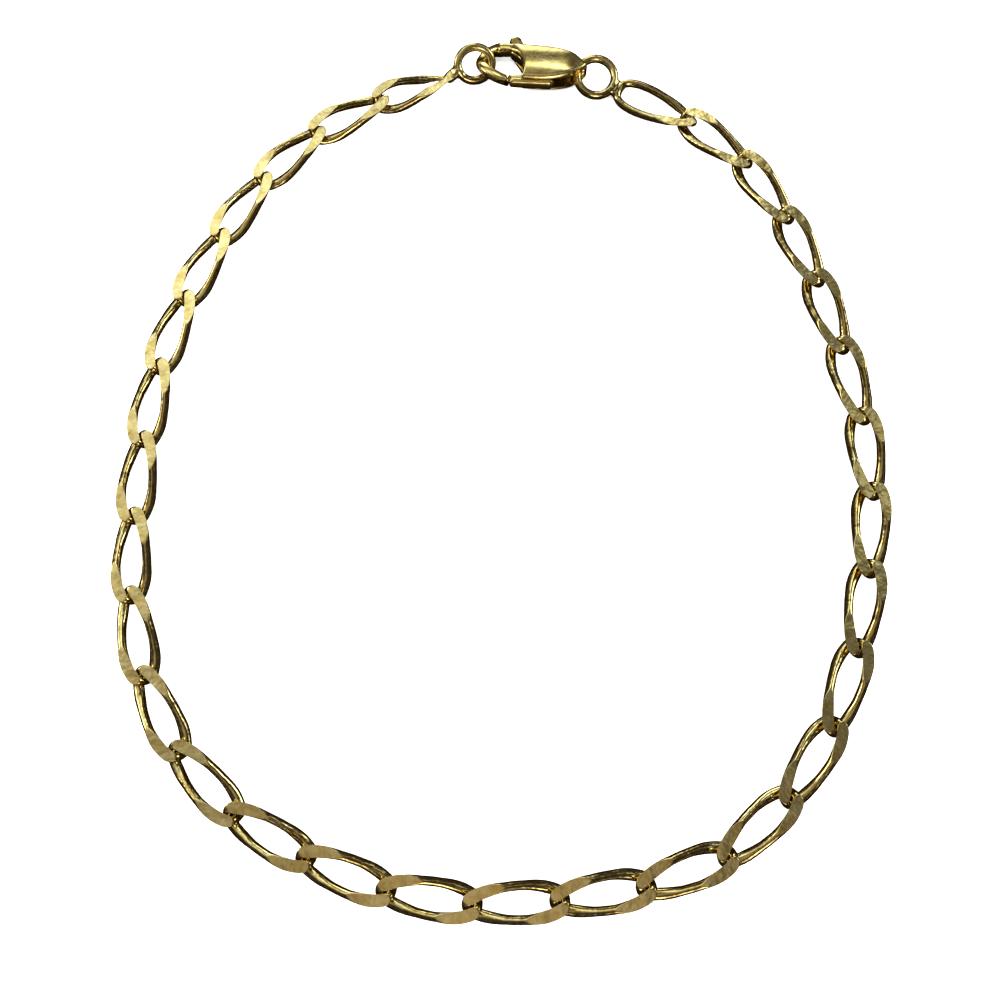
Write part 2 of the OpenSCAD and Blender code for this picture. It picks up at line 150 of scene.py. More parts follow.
lies = [lie_of_link(f"link_{i:02d}") for i in range(1, LINK_COUNT + 1)]
middles = [m for m, d in lies]
steps = [b - a for a, b in zip(middles, middles[2:])]
steps = [middles[1] - middles[0], *steps, middles[-1] - middles[-2]]
axes = [d * np.sign(d @ s) for (m, d), s in zip(lies, steps)]

# The tail's end link hangs its ring in the eye and ends where the first plain link starts
tail_stop = CLASP_TURN @ EYE_AT + CLASP_AT
ring_in_eye = spin(TAIL_SLIP) @ np.array([-TAIL_RING / 2, 0, 0])
tail_bow_at = TAIL_RING / 2 + SOLDER_REACH
tail_link_end = tail_bow_at + TAIL_LINK["length"] - LINK_WIRE - BOW_OVERLAP - END_SLACK
first_stop = middles[0] - axes[0] * (PITCH - CHAIN_SLACK) / 2
tail_turn = heading(first_stop - tail_stop) - heading(np.array([tail_link_end, 0, 0]) - ring_in_eye)
TAIL_TURN = spin(tail_turn)
TAIL_AT = tail_stop - TAIL_TURN @ ring_in_eye
TAIL_AT[2] = FLAT
tail_rise = TAIL_RING / 2 * math.sin(math.radians(TAIL_SLOPE))
tail_lift = (tail_stop[2] - tail_rise * math.cos(math.radians(180 + TAIL_SLIP - TAIL_UPHILL))) - FLAT

# The hook's end link rides on the hook and ends where the last plain link does
hook_stop = CLASP_TURN @ HOOK_AT + CLASP_AT
last_stop = middles[-1] + axes[-1] * PITCH / 2
HOOK_TURN = spin(heading(hook_stop - last_stop))
HOOK_LINK_AT = np.array([hook_stop[0], hook_stop[1], FLAT])
hook_ring_at = LINK_GAP - (HOOK_RING_LENGTH - RING_WIRE - HOOK_WIRE) / 2
hook_bow_at = hook_ring_at - HOOK_RING_LENGTH / 2 - SOLDER_REACH
hook_ring_lift = 0.06 + RING_WIRE / 2 + HOOK_RING_WIDTH / 2 * math.sin(math.radians(HOOK_SLOPE)) - FLAT


# ---- meshes ----

def make_piece(name, points, faces, body, node, material):
    """A closed mesh piece from points in the part's frame in millimetres, smooth all over."""
    mesh = bpy.data.meshes.new(name)
    mesh.from_pydata(points * MM, [], faces)
    mesh.polygons.foreach_set("use_smooth", np.ones(len(mesh.polygons), bool))
    mesh.update()
    piece = bpy.data.objects.new(name, mesh)
    bpy.context.scene.collection.objects.link(piece)
    mesh.materials.append(material)
    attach(piece, body)
    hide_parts(node)
    return piece


def store(piece, name, values):
    """Keeps one number for each point of a piece, for its material."""
    layer = piece.data.attributes.new(name, "FLOAT", "POINT")
    layer.data.foreach_set("value", np.asarray(values, np.float32))


def ring_faces(rows, columns):
    """Four-sided faces of a grid that closes on itself both ways."""
    i, k = np.meshgrid(np.arange(rows), np.arange(columns), indexing="ij")
    j, l = (i + 1) % rows, (k + 1) % columns
    return np.stack([i * columns + k, i * columns + l, j * columns + l, j * columns + k], -1).reshape(-1, 4)


def signed_power(v, p):
    return np.sign(v) * np.abs(v) ** p


def unit(v):
    return v / np.linalg.norm(v, axis=-1, keepdims=True)


def link_line(t, length, width, twist_a, twist_b, delay):
    """Centre line of a link's wire at t, in degrees: x = l/2 cos(t)^(2/3) and y = w/2 sin(t)^(2/3) with
    their signs kept, then turned about x by an angle that goes from twist_a to twist_b with
    (x/l + 1/2)^delay."""
    l, w = length - LINK_WIRE, width - LINK_WIRE
    t = np.radians(t)
    x = l / 2 * signed_power(np.cos(t), 2 / OVAL_POWER)
    y = w / 2 * signed_power(np.sin(t), 2 / OVAL_POWER)
    a = np.radians(twist_a + (twist_b - twist_a) * np.clip(x / l + 0.5, 0, 1) ** delay)
    return np.stack([x, y * np.cos(a), y * np.sin(a)], -1)


def even_line(line, count):
    """The same closed line with its points at even distances along it, and its direction at each."""
    closed = np.vstack([line, line[:1]])
    run = np.concatenate([[0], np.cumsum(np.linalg.norm(np.diff(closed, axis=0), axis=1))])
    at = np.arange(count) / count * run[-1]
    pick = np.stack([np.interp(at, run, closed[:, k]) for k in range(3)], -1)
    ahead, behind = np.roll(pick, -1, 0), np.roll(pick, 1, 0)
    return pick, unit(ahead - behind)


def smooth_less(a, b, r):
    """The smaller of two lengths, its corner rounded over the width r."""
    h = np.clip(0.5 + 0.5 * (b - a) / r, 0, 1)
    return b + (a - b) * h - r * h * (1 - h)


def smooth_more(a, b, r):
    """The larger of two lengths, its corner rounded over the width r."""
    return -smooth_less(-a, -b, r)


def filed_wire(c, d, corners):
    """Sections of a round wire about the points c, across the directions d: c + side cos(q) + up sin(q), with
    the upward part held below the filed plane z = 0.5 and above z = -0.5 by a rounded limit. The corner
    angles q crowd at the edges of the flats, and filed metal is pressed out sideways by up to 0.3 of r."""
    r = LINK_WIRE / 2
    side = unit(np.stack([-d[:, 1], d[:, 0], np.zeros(len(d))], -1))
    up = np.cross(d, side)
    top = (FLAT - c[:, 2]) / up[:, 2]
    low = (FLAT + c[:, 2]) / up[:, 2]
    spread = r * (1 + PRESS_SPREAD * np.clip(1 - np.minimum(top, low) / r, 0, 1))
    least, most = math.sin(math.radians(LEAST_CUT)), math.sin(math.radians(MOST_CUT))
    a, b = np.arcsin(np.clip(top / r, least, most)), np.arcsin(np.clip(low / r, least, most))
    ends = np.stack([-b, a, math.pi - a, math.pi + b, 2 * math.pi - b], -1)
    share = np.arange(corners // 4) / (corners // 4)
    share = 0.5 - 0.5 * np.cos(math.pi * share) * CROWDING - (1 - CROWDING) * (0.5 - share)
    share = (share - share[0]) / (1 - share[0])
    q = (ends[:, :-1, None] + (ends[:, 1:] - ends[:, :-1])[:, :, None] * share).reshape(len(c), -1)
    rise = smooth_less(r * np.sin(q), top[:, None], EDGE)
    rise = smooth_more(rise, -low[:, None], EDGE)
    return (c[:, None] + side[:, None] * (spread[:, None] * np.cos(q))[..., None]
            + up[:, None] * rise[..., None])


# ---- skins of distance fields ----

def skin(field, low, high, step):
    """Skin where field(points) is zero, as points and four-sided faces. A coarse grid finds the blocks near the
    skin, a fine grid is worked out in them, each cell that the skin crosses gets one point at the mean of the
    crossings on its edges, and each crossed edge makes a face of the four cells round it. Last, the points
    slide along the field's slope onto the skin."""
    low = np.asarray(low, float)
    blocks = np.ceil((np.asarray(high) - low) / (4 * step)).astype(int)
    grids = [low[k] + (np.arange(blocks[k]) + 0.5) * 4 * step for k in range(3)]
    rough = field(np.stack(np.meshgrid(*grids, indexing="ij"), -1).reshape(-1, 3)).reshape(blocks)
    f = rough.repeat(4, 0).repeat(4, 1).repeat(4, 2)
    near = np.argwhere(np.abs(f) < 7 * step)
    f[tuple(near.T)] = field(low + (near + 0.5) * step)
    inside = f < 0
    cells = np.array(f.shape) - 1
    total, count = np.zeros((*cells, 3)), np.zeros(cells)
    edges = []

    def part(v, starts):
        pick = [slice(None)] * 3
        for axis, s in starts.items():
            pick[axis] = slice(s, s + cells[axis])
        return v[tuple(pick)]

    for a in range(3):
        b, c = (a + 1) % 3, (a + 2) % 3
        f0, f1 = part(f, {a: 0}), part(f, {a: 1})
        crossed = (f0 < 0) != (f1 < 0)
        along = np.where(crossed, f0 / np.where(crossed, f0 - f1, 1), 0)
        for s in (0, 1):
            for t in (0, 1):
                hit, run = part(crossed, {b: s, c: t}), part(along, {b: s, c: t})
                count += hit
                total[..., a] += run
                total[..., b] += hit * s
                total[..., c] += hit * t
        edges.append((a, b, c, np.argwhere(crossed)))
    used = count > 0
    index = np.full(cells, -1)
    index[used] = np.arange(used.sum())
    points = low + (np.argwhere(used) + 0.5 + total[used] / count[used][:, None]) * step
    faces = []
    for a, b, c, at in edges:
        at = at[(at[:, b] > 0) & (at[:, c] > 0) & (at[:, b] < cells[b]) & (at[:, c] < cells[c])]
        eb, ec = np.eye(3, dtype=int)[b], np.eye(3, dtype=int)[c]
        quad = np.stack([index[tuple((at - o).T)] for o in (eb + ec, ec, 0 * eb, eb)], -1)
        out = inside[tuple(at.T)]
        faces.append(np.where(out[:, None], quad, quad[:, ::-1]))
    for _ in range(3):
        slope, value = gradient(field, points)
        points = points - np.clip(value, -step, step)[:, None] * slope / (slope ** 2).sum(1, keepdims=True)
    return points, np.vstack(faces)


def gradient(field, p, h=0.004):
    """Slope of a field at points p by central differences, and its value there."""
    moves = np.vstack([np.eye(3), -np.eye(3)]) * h
    values = [field(p + m) for m in moves]
    slope = np.stack([(values[k] - values[k + 3]) / (2 * h) for k in range(3)], -1)
    return slope, field(p)


def nearest_on(p, line, closed):
    """For each point of p: the nearest place on a line of points, the line's direction there, and how far along
    the line it is, counted in points."""
    ends = np.roll(line, -1, 0) if closed else line[1:]
    starts = line if closed else line[:-1]
    best = np.full(len(p), np.inf)
    place, which, share = np.zeros_like(p), np.zeros(len(p), int), np.zeros(len(p))
    for k, (a, b) in enumerate(zip(starts, ends)):
        d = b - a
        f = np.clip((p - a) @ d / (d @ d), 0, 1)
        q = a + f[:, None] * d
        r = ((p - q) ** 2).sum(1)
        hit = r < best
        best[hit], place[hit], which[hit], share[hit] = r[hit], q[hit], k, k + f[hit]
    return place, unit(ends - starts)[which], share


def filed_wire_field(p, line):
    """Distance to a round wire about a closed line, spread sideways where it is filed, cut at z = +-0.5."""
    r = LINK_WIRE / 2
    c, d, _ = nearest_on(p, line, True)
    side = unit(np.stack([-d[:, 1], d[:, 0], np.zeros(len(d))], -1))
    up = np.cross(d, side)
    top = (FLAT - c[:, 2]) / up[:, 2]
    low = (FLAT + c[:, 2]) / up[:, 2]
    wide = 1 + PRESS_SPREAD * np.clip(1 - np.minimum(top, low) / r, 0, 1)
    off = p - c
    s = (off * side).sum(1)
    rest = (off ** 2).sum(1) - s ** 2
    wire = np.sqrt((s / wide) ** 2 + np.maximum(rest, 0)) - r
    return smooth_more(wire, np.abs(p[:, 2]) - FLAT, EDGE)


def web_field(p, a, b, radius):
    """Distance to a web of solder: a flat strip from a to b and its mirror image in y, thickened by radius."""
    half = (a[1] + b[1]) / 2
    a, b = np.array([a[0], 0, a[2]]), np.array([b[0], 0, b[2]])
    flat = p * [1, 0, 1]
    f = np.clip((flat - a) @ (b - a) / ((b - a) @ (b - a)), 0, 1)
    away = np.linalg.norm(flat - a - f[:, None] * (b - a), axis=1)
    return np.hypot(away, np.maximum(np.abs(p[:, 1]) - half, 0)) - radius


turn_steps = np.linspace(0, 360, 2000, endpoint=False)
tail_line = even_line(link_line(turn_steps, **TAIL_LINK), END_LINK_STEPS)[0]
tail_line = tail_line + [tail_bow_at + (TAIL_LINK["length"] - LINK_WIRE) / 2, 0, 0]
hook_link_line = even_line(link_line(turn_steps, **HOOK_LINK), END_LINK_STEPS)[0]
hook_link_line = hook_link_line + [hook_bow_at - (HOOK_LINK["length"] - LINK_WIRE) / 2, 0, 0]
oval = np.radians(np.linspace(0, 360, RING_STEPS, endpoint=False))
ring_slope = math.radians(HOOK_SLOPE)
oval_ring = np.stack([hook_ring_at + HOOK_RING_LENGTH / 2 * np.cos(oval),
                      HOOK_RING_WIDTH / 2 * np.sin(oval) * math.cos(ring_slope),
                      hook_ring_lift + HOOK_RING_WIDTH / 2 * np.sin(oval) * math.sin(ring_slope)], -1)


def tail_end_field(p):
    """The tail's end link: filed wire, a round ring about a sloping axis, and solder between them."""
    wire = filed_wire_field(p, tail_line)
    lean = math.radians(TAIL_SLOPE)
    up = spin(TAIL_UPHILL) @ np.array([-math.sin(lean), 0, math.cos(lean)])
    off = p - [0, 0, tail_lift]
    h = off @ up
    ring = np.hypot(np.sqrt(np.maximum((off ** 2).sum(1) - h ** 2, 0)) - TAIL_RING / 2, h) - RING_WIRE / 2
    lift = tail_lift + tail_rise * math.cos(math.radians(TAIL_UPHILL))
    web = web_field(p, (TAIL_RING / 2, 0.42, lift), (tail_bow_at, 0.42, 0), 0.24)
    return smooth_less(smooth_less(wire, ring, SOLDER_BLEND), web, WEB_BLEND)


def hook_end_field(p):
    """The hook's end link: filed wire, an oval ring that climbs over the hook, and solder between them."""
    wire = filed_wire_field(p, hook_link_line)
    c = nearest_on(p, oval_ring, True)[0]
    ring = np.linalg.norm(p - c, axis=1) - RING_WIRE / 2
    web = web_field(p, (hook_bow_at + SOLDER_REACH, 0.26, hook_ring_lift), (hook_bow_at - 0.3, 0.1, 0), 0.29)
    return smooth_less(smooth_less(wire, ring, SOLDER_BLEND), web, WEB_BLEND)


# ---- the clasp ----

def ease(f):
    """A soft step from 0 at f = 0 to 1 at f = 1, half a wave of the cosine."""
    return (1 - np.cos(math.pi * np.clip(f, 0, 1))) / 2


def power_edge(x, y, half_x, half_y, power_x, power_y):
    """Distance to the line where (x/a)^p + (y/b)^q = 1: the left side less 1, over the length of its slope."""
    u, v = np.maximum(np.abs(x) / half_x, 1e-6), np.maximum(np.abs(y) / half_y, 1e-6)
    value = u ** power_x + v ** power_y - 1
    slope = np.hypot(power_x * u ** (power_x - 1) / half_x, power_y * v ** (power_y - 1) / half_y)
    return value / np.maximum(slope, 0.25 / half_y)


def bar_2d(x, y, a, b, ra, rb):
    """Distance in plan to a bar with round ends at a and b and radii ra and rb."""
    a, b = np.asarray(a, float), np.asarray(b, float)
    d = b - a
    run = np.hypot(*d)
    s = ((x - a[0]) * d[0] + (y - a[1]) * d[1]) / run
    v = np.abs((x - a[0]) * d[1] - (y - a[1]) * d[0]) / run
    lean = (ra - rb) / run
    s = s + v * lean / math.sqrt(max(1e-9, 1 - lean * lean))
    f = np.clip(s / run, 0, 1)
    return np.hypot(x - a[0] - f * d[0], y - a[1] - f * d[1]) - (ra + (rb - ra) * f)


def polygon_2d(x, y, corners):
    """Signed distance in plan to a polygon: the least distance to its sides, negative inside."""
    corners = np.asarray(corners, float)
    best, odd = np.full(len(x), np.inf), np.zeros(len(x), bool)
    for a, b in zip(corners, np.roll(corners, -1, 0)):
        d = b - a
        f = np.clip(((x - a[0]) * d[0] + (y - a[1]) * d[1]) / (d @ d), 0, 1)
        best = np.minimum(best, np.hypot(x - a[0] - f * d[0], y - a[1] - f * d[1]))
        if a[1] != b[1]:
            odd ^= ((a[1] > y) != (b[1] > y)) & (x < (b[0] - a[0]) * (y - a[1]) / (b[1] - a[1]) + a[0])
    return np.where(odd, -best, best)


# Knots of the hook's line as shares of its reach, half the clasp's width and the hook's swing
HOOK_SHAPE = [
    [-0.36, 1.08, 0.1], [-0.5, 1.14, 0.1], [-0.66, 1.2, -0.3], [-0.82, 1.16, -1], [-0.94, 0.84, -1.3],
    [-1, 0.24, -0.6], [-0.98, -0.24, 0.4], [-0.87, -0.7, 0.9], [-0.72, -1.04, 1], [-0.56, -1.23, 0.8],
    [-0.42, -1.31, 0.5], [-0.28, -1.36, 0.2]
]
SLOT = [(-1.75, 2.85), (0.62, 2.85), (0.62, 1.6), (2.2, 0.2), (3.3, -0.3), (3.3, -2.85), (-3, -2.85),
        (-3, 0.9), (-1.75, 0.9)]


def smooth_curve(knots, share):
    """Points of a smooth curve through the middle knots, at shares of its way."""
    s = 1 + np.clip(share, 0, 0.9999) * (len(knots) - 3)
    i = s.astype(int)
    f = (s - i)[:, None]
    a, b, c, d = (knots[i + k] for k in (-1, 0, 1, 2))
    return (2 * b + (c - a) * f + (2 * a - 5 * b + 4 * c - d) * f ** 2 + (3 * b - a - 3 * c + d) * f ** 3) / 2


hook_knots = np.array(HOOK_SHAPE) * [HOOK_REACH - HOOK_WIRE / 2, HALF_WIDTH - HOOK_WIRE / 2, HOOK_SWING]
hook_line = smooth_curve(hook_knots, np.linspace(0, 1, HOOK_STEPS))
hook_along = unit(np.gradient(hook_line, axis=0))


def hook_field(p):
    """Distance to the hook's arm: a bar of rounded square section about its line, thinner where the ring hangs
    and narrower at its tip, which is cut round about the rivet."""
    c, d, at = nearest_on(p, hook_line, False)
    d = unit(np.stack([np.interp(at, np.arange(len(hook_line)), hook_along[:, k]) for k in range(3)], -1))
    share = at / (len(hook_line) - 1)
    side = unit(np.stack([-d[:, 1], d[:, 0], np.zeros(len(d))], -1))
    up = np.cross(d, side)
    off = p - c
    wide = HOOK_WIRE / 2 * (1.04 - 0.08 * ease((share - 0.8) / 0.2))
    tall = ARM_HALF + (HOOK_THICKNESS / 2 - ARM_HALF) * ease((share - 0.05) / 0.25)
    tall = tall * (0.9 + 0.1 * ease(share / 0.12))
    s, v, a = ((off * k).sum(1) for k in (side, up, d))
    k = sum(np.abs(q) ** HOOK_POWER for q in (s / wide, v / tall, a / wide)) ** (1 / HOOK_POWER)
    reach = np.linalg.norm(off, axis=1)
    bar = reach - reach / np.maximum(k, 0.05)
    from_rivet = np.hypot(p[:, 0] - RIVET_AT[0], p[:, 1] - RIVET_AT[1])
    return smooth_more(bar, GATE_RADIUS + TIP_GAP - from_rivet, 0.12)


def clasp_case_field(p):
    """The clasp's case: its outline in plan, its side profile and its two crowned faces cross each other, with
    rounder edges along the arm; the opening inside the hook and the lever's slot are cut out, the hook's arm is
    added, and the eye in the tail and the rivet's seats are cut away."""
    x, y, z = p.T
    plan = np.where(x > 0, power_edge(x, y, TAIL_REACH, HALF_WIDTH, *TAIL_POWERS),
                    power_edge(x, y, HOOK_REACH, HALF_WIDTH, *NOSE_POWERS))
    plan = smooth_more(plan, ARM_ROOT - 0.25 - x, 0.3)
    tall = np.where(x < 0, ARM_HALF + (HALF_CLASP - ARM_HALF) * ease((x - ARM_ROOT) / -ARM_ROOT),
                    HALF_CLASP + (TAIL_HALF - HALF_CLASP) * ease((x - TAIL_TAPER_AT) / (TAIL_REACH - TAIL_TAPER_AT)))
    side = (np.abs(z) - tall) / 1.1
    crown = np.hypot(y, np.abs(z) + CROWN_RADIUS - HALF_CLASP) - CROWN_RADIUS
    faces = smooth_more(side, crown, 0.1)
    mouth = -power_edge(x - OPENING_AT[0], y - OPENING_AT[1], *OPENING_SIZE, 2, 2)
    mouth = mouth + 0.34 * ease(-z / 0.5) * ease((-0.9 - x) / 0.8) * ease((y + 0.2) / 0.8)
    arm = ease((-1.5 - x) / 0.7)
    block = smooth_more(smooth_more(plan, faces, 0.42 - 0.06 * arm), mouth, 0.2 + 0.14 * arm)
    slot = np.maximum(polygon_2d(x, y, SLOT), np.abs(z) - LEVER_HALF - LEVER_GAP)
    block = smooth_more(block, -slot, 0.05)
    block = smooth_less(block, hook_field(p), 0.4)
    eye = np.hypot(x - EYE_AT[0], z) - EYE_RADIUS - EYE_FLARE * np.maximum(np.abs(y) - EYE_STRAIGHT, 0)
    block = smooth_more(block, -eye / 1.1, 0.1)
    seat = np.maximum(np.hypot(x - RIVET_AT[0], y - RIVET_AT[1]) - RIVET_RADIUS - SEAT_GAP,
                      np.abs(z) - LEVER_HALF - LEVER_GAP - SEAT_DEPTH)
    return np.maximum(block, -seat)


def lever_field(p):
    """The lever: a gate, a hub and a neck with a thumb tab in plan, clipped round about the rivet, given its
    thickness with well rubbed edges, and bored for the rivet."""
    x, y, z = p.T
    gate_y = -HALF_WIDTH - GATE_PROUD + 0.42
    tab = bar_2d(x, y, TAB_AT, (TAB_AT[0] + 0.35, 1.5), 0.54, 0.78)
    neck = bar_2d(x, y, (-0.85, 1.3), RIVET_AT[:2], 0.5, 0.62)
    gate = bar_2d(x, y, (RIVET_AT[0] - GATE_RADIUS + 0.3, gate_y), (1.9, gate_y + 0.12), 0.45, 0.45)
    plan = smooth_less(smooth_less(tab, neck, 0.2), gate, 0.2)
    from_rivet = np.hypot(x - RIVET_AT[0], y - RIVET_AT[1])
    clip = np.minimum(from_rivet - GATE_RADIUS, -y)
    plan = smooth_more(plan, clip, 0.14)
    rub = 0.2 + 0.22 * ease((-0.8 - y) / 0.6) + 0.16 * ease((y - 1.7) / 0.5)
    solid = smooth_more(plan, np.abs(z) - LEVER_HALF, rub)
    return smooth_more(solid, RIVET_RADIUS + RIVET_GAP - from_rivet, 0.02)


def rivet_points(rows, columns):
    """The rivet: a round bar about its axis, radius r(u) = R (1 - |u|^24)^(1/2), that ends inside its seats."""
    u = np.linspace(-1, 1, rows)[:, None]
    a = np.linspace(0, 2 * math.pi, columns, endpoint=False)[None]
    r = RIVET_RADIUS * np.clip((1 - np.abs(u) ** 24), 0, 1) ** 0.5 + 0.001
    x, y = RIVET_AT[0] + r * np.cos(a), RIVET_AT[1] + r * np.sin(a)
    z = np.clip(u * 1.3, -1, 1) * (LEVER_HALF + LEVER_GAP + SEAT_DEPTH - SEAT_GAP) + 0 * a
    return np.stack([x, y, z], -1).reshape(-1, 3)


# ---- finishes ----

# Noise scales per metre, and the depth of the scratches in metres
CLOUD_SCALE, GRAIN_SCALE, WAVE_SCALE = 900.0, 5200.0, 1000.0
SCRATCH_DEPTH = 0.00004


def node(tree, kind, inputs=None, **settings):
    """Adds a shader node, with its settings and its inputs: a number or colour is set, a socket is linked."""
    n = tree.nodes.new(kind)
    for k, v in settings.items():
        setattr(n, k, v)
    for k, v in (inputs or {}).items():
        if isinstance(v, bpy.types.NodeSocket):
            tree.links.new(v, n.inputs[k])
        else:
            n.inputs[k].default_value = v
    return n


def gold(name, pale, deep, smooth_rough, filed_rough, scratch, wave):
    """Polished gold with wear: two tones in soft clouds, fine scratches, slow waves of a given height in metres,
    and brushed flats where the piece's own "filed" number is 1. The flats' strokes run across the piece's own
    "along" number."""
    material = bpy.data.materials.new(name)
    material.use_nodes = True
    t = material.node_tree
    t.nodes.clear()
    here = node(t, "ShaderNodeTexCoord").outputs["Object"]
    filed = node(t, "ShaderNodeAttribute", attribute_name="filed").outputs["Fac"]
    along = node(t, "ShaderNodeAttribute", attribute_name="along").outputs["Fac"]
    across = node(t, "ShaderNodeAttribute", attribute_name="across").outputs["Fac"]
    strokes_at = node(t, "ShaderNodeCombineXYZ", {"X": along, "Y": across, "Z": 0.0}).outputs[0]
    strokes_at = node(t, "ShaderNodeMapping", {"Vector": strokes_at, "Rotation": (0, 0, 0.35),
                                               "Scale": (14, 1.6, 1)}).outputs[0]
    strokes = node(t, "ShaderNodeTexNoise", {"Vector": strokes_at, "Scale": 1.0, "Detail": 3.0,
                                             "Roughness": 0.55}).outputs["Fac"]
    clouds = node(t, "ShaderNodeTexNoise", {"Vector": here, "Scale": CLOUD_SCALE, "Detail": 3.0}).outputs["Fac"]
    grain = node(t, "ShaderNodeTexNoise", {"Vector": here, "Scale": GRAIN_SCALE, "Detail": 3.0}).outputs["Fac"]

    tone = node(t, "ShaderNodeMapRange", {"Value": clouds, "From Min": 0.35, "From Max": 0.65}).outputs[0]
    colour = node(t, "ShaderNodeMix", data_type="RGBA")
    t.links.new(tone, colour.inputs[0])
    colour.inputs[6].default_value = (*deep, 1)
    colour.inputs[7].default_value = (*pale, 1)

    rough_filed = node(t, "ShaderNodeMapRange", {"Value": strokes, "From Min": 0.3, "From Max": 0.7,
                                                 "To Min": filed_rough[0], "To Max": filed_rough[1]})
    rough_round = node(t, "ShaderNodeMapRange", {"Value": grain, "From Min": 0.3, "From Max": 0.7,
                                                 "To Min": smooth_rough[0], "To Max": smooth_rough[1]})
    rough = node(t, "ShaderNodeMix", {"Factor": filed, "A": rough_round.outputs[0],
                                      "B": rough_filed.outputs[0]}).outputs[0]
    mixed = node(t, "ShaderNodeMix", {"Factor": filed, "A": grain, "B": strokes}).outputs[0]
    waves = node(t, "ShaderNodeTexNoise", {"Vector": here, "Scale": WAVE_SCALE, "Detail": 2.0}).outputs["Fac"]
    wavy = node(t, "ShaderNodeBump", {"Height": waves, "Strength": 1.0, "Distance": wave}).outputs[0]
    bump = node(t, "ShaderNodeBump", {"Height": mixed, "Strength": scratch, "Distance": SCRATCH_DEPTH,
                                      "Normal": wavy}).outputs[0]
    shader = node(t, "ShaderNodeBsdfPrincipled", {"Base Color": colour.outputs[2], "Roughness": rough,
                                                  "Metallic": 1.0, "Normal": bump})
    node(t, "ShaderNodeOutputMaterial", {"Surface": shader.outputs[0]})
    return material


chain_gold = gold("filed_chain_gold", pale=(0.90, 0.80, 0.44), deep=(0.73, 0.585, 0.25),
                  smooth_rough=(0.07, 0.14), filed_rough=(0.14, 0.24), scratch=0.05, wave=0.00007)
clasp_gold = gold("cast_clasp_gold", pale=(0.92, 0.80, 0.40), deep=(0.82, 0.66, 0.27),
                  smooth_rough=(0.12, 0.22), filed_rough=(0.3, 0.4), scratch=0.04, wave=0.00002)


# ---- pieces ----

def mark_filed(piece, points, along, across):
    """Stores where a chain piece is filed flat, and the two lengths that its strokes follow."""
    z = points[:, 2]
    store(piece, "filed", ((z > 2 * FLAT - 0.006) | (z < 0.006)).astype(float))
    store(piece, "along", along)
    store(piece, "across", across)


line, direction = even_line(link_line(turn_steps, LINK_LENGTH, LINK_WIDTH, END_TWIST, -END_TWIST, 1),
                            LINK_STEPS)
own = filed_wire(line, direction, CORNERS).reshape(-1, 3)
link_faces = ring_faces(len(line), CORNERS)
for number, (middle, axis) in enumerate(zip(middles, axes), 1):
    turn = spin(heading(axis))
    points = own @ turn.T + [middle[0], middle[1], FLAT]
    piece = make_piece(f"plain_link_{number:02d}", points, link_faces, "bracelet", f"link_{number:02d}",
                       chain_gold)
    mark_filed(piece, points, own[:, 0] + 9.7 * number, own[:, 1])

own, faces = skin(tail_end_field, (-2.1, -2.1, -0.65), (9.4, 2.1, 1.35), CHAIN_STEP)
points = own @ TAIL_TURN.T + TAIL_AT
piece = make_piece("tail_end_link", points, faces, "bracelet", "end_link_tail", chain_gold)
mark_filed(piece, points, own[:, 0], own[:, 1])

own, faces = skin(hook_end_field, (-10, -1.8, -0.65), (1.6, 1.8, 1.7), CHAIN_STEP)
points = own @ HOOK_TURN.T + HOOK_LINK_AT
piece = make_piece("hook_end_link", points, faces, "bracelet", "end_link_hook", chain_gold)
mark_filed(piece, points, own[:, 0], own[:, 1])

own, faces = skin(clasp_case_field, (-4.5, -2.15, -1.2), (5.2, 2.15, 1.2), CLASP_STEP)
make_piece("clasp_case", own @ CLASP_TURN.T + CLASP_AT, faces, "bracelet", "clasp_body",
           clasp_gold)

own, faces = skin(lever_field, (-1.9, -2.3, -0.6), (2.6, 3.1, 0.6), CLASP_STEP)
make_piece("clasp_lever_gate", own @ CLASP_TURN.T + CLASP_AT, faces, "lever", "clasp_lever",
           clasp_gold)

n, m = RIVET_ROWS, RIVET_COLUMNS
own = rivet_points(n, m)
quads = [(i * m + k, i * m + (k + 1) % m, (i + 1) * m + (k + 1) % m, (i + 1) * m + k)
         for i in range(n - 1) for k in range(m)]
ends = [tuple(range(m))[::-1], tuple(range((n - 1) * m, n * m))]
make_piece("clasp_pin", own @ CLASP_TURN.T + CLASP_AT, quads + ends, "bracelet", "clasp_rivet",
           clasp_gold)


# ---- floor, light and camera ----

def floor_finish():
    """White paper that the metal sees darker than the camera does."""
    material = bpy.data.materials.new("white_paper")
    material.use_nodes = True
    t = material.node_tree
    t.nodes.clear()
    path = node(t, "ShaderNodeLightPath").outputs["Is Glossy Ray"]
    paper = node(t, "ShaderNodeBsdfDiffuse", {"Color": (0.92, 0.92, 0.92, 1)}).outputs[0]
    dim = node(t, "ShaderNodeBsdfDiffuse", {"Color": (0.012, 0.007, 0.003, 1)}).outputs[0]
    mix = node(t, "ShaderNodeMixShader", {0: path, 1: paper, 2: dim}).outputs[0]
    node(t, "ShaderNodeOutputMaterial", {"Surface": mix})
    return material


FLOOR_HALF, FLOOR_DROP = 0.4, 0.00001
floor_mesh = bpy.data.meshes.new("floor")
corners = [(a * FLOOR_HALF, b * FLOOR_HALF, 0) for a, b in ((-1, -1), (1, -1), (1, 1), (-1, 1))]
floor_mesh.from_pydata(corners, [], [(0, 1, 2, 3)])
floor = bpy.data.objects.new("floor", floor_mesh)
floor.location.z = -FLOOR_DROP
floor_mesh.materials.append(floor_finish())
bpy.context.scene.collection.objects.link(floor)

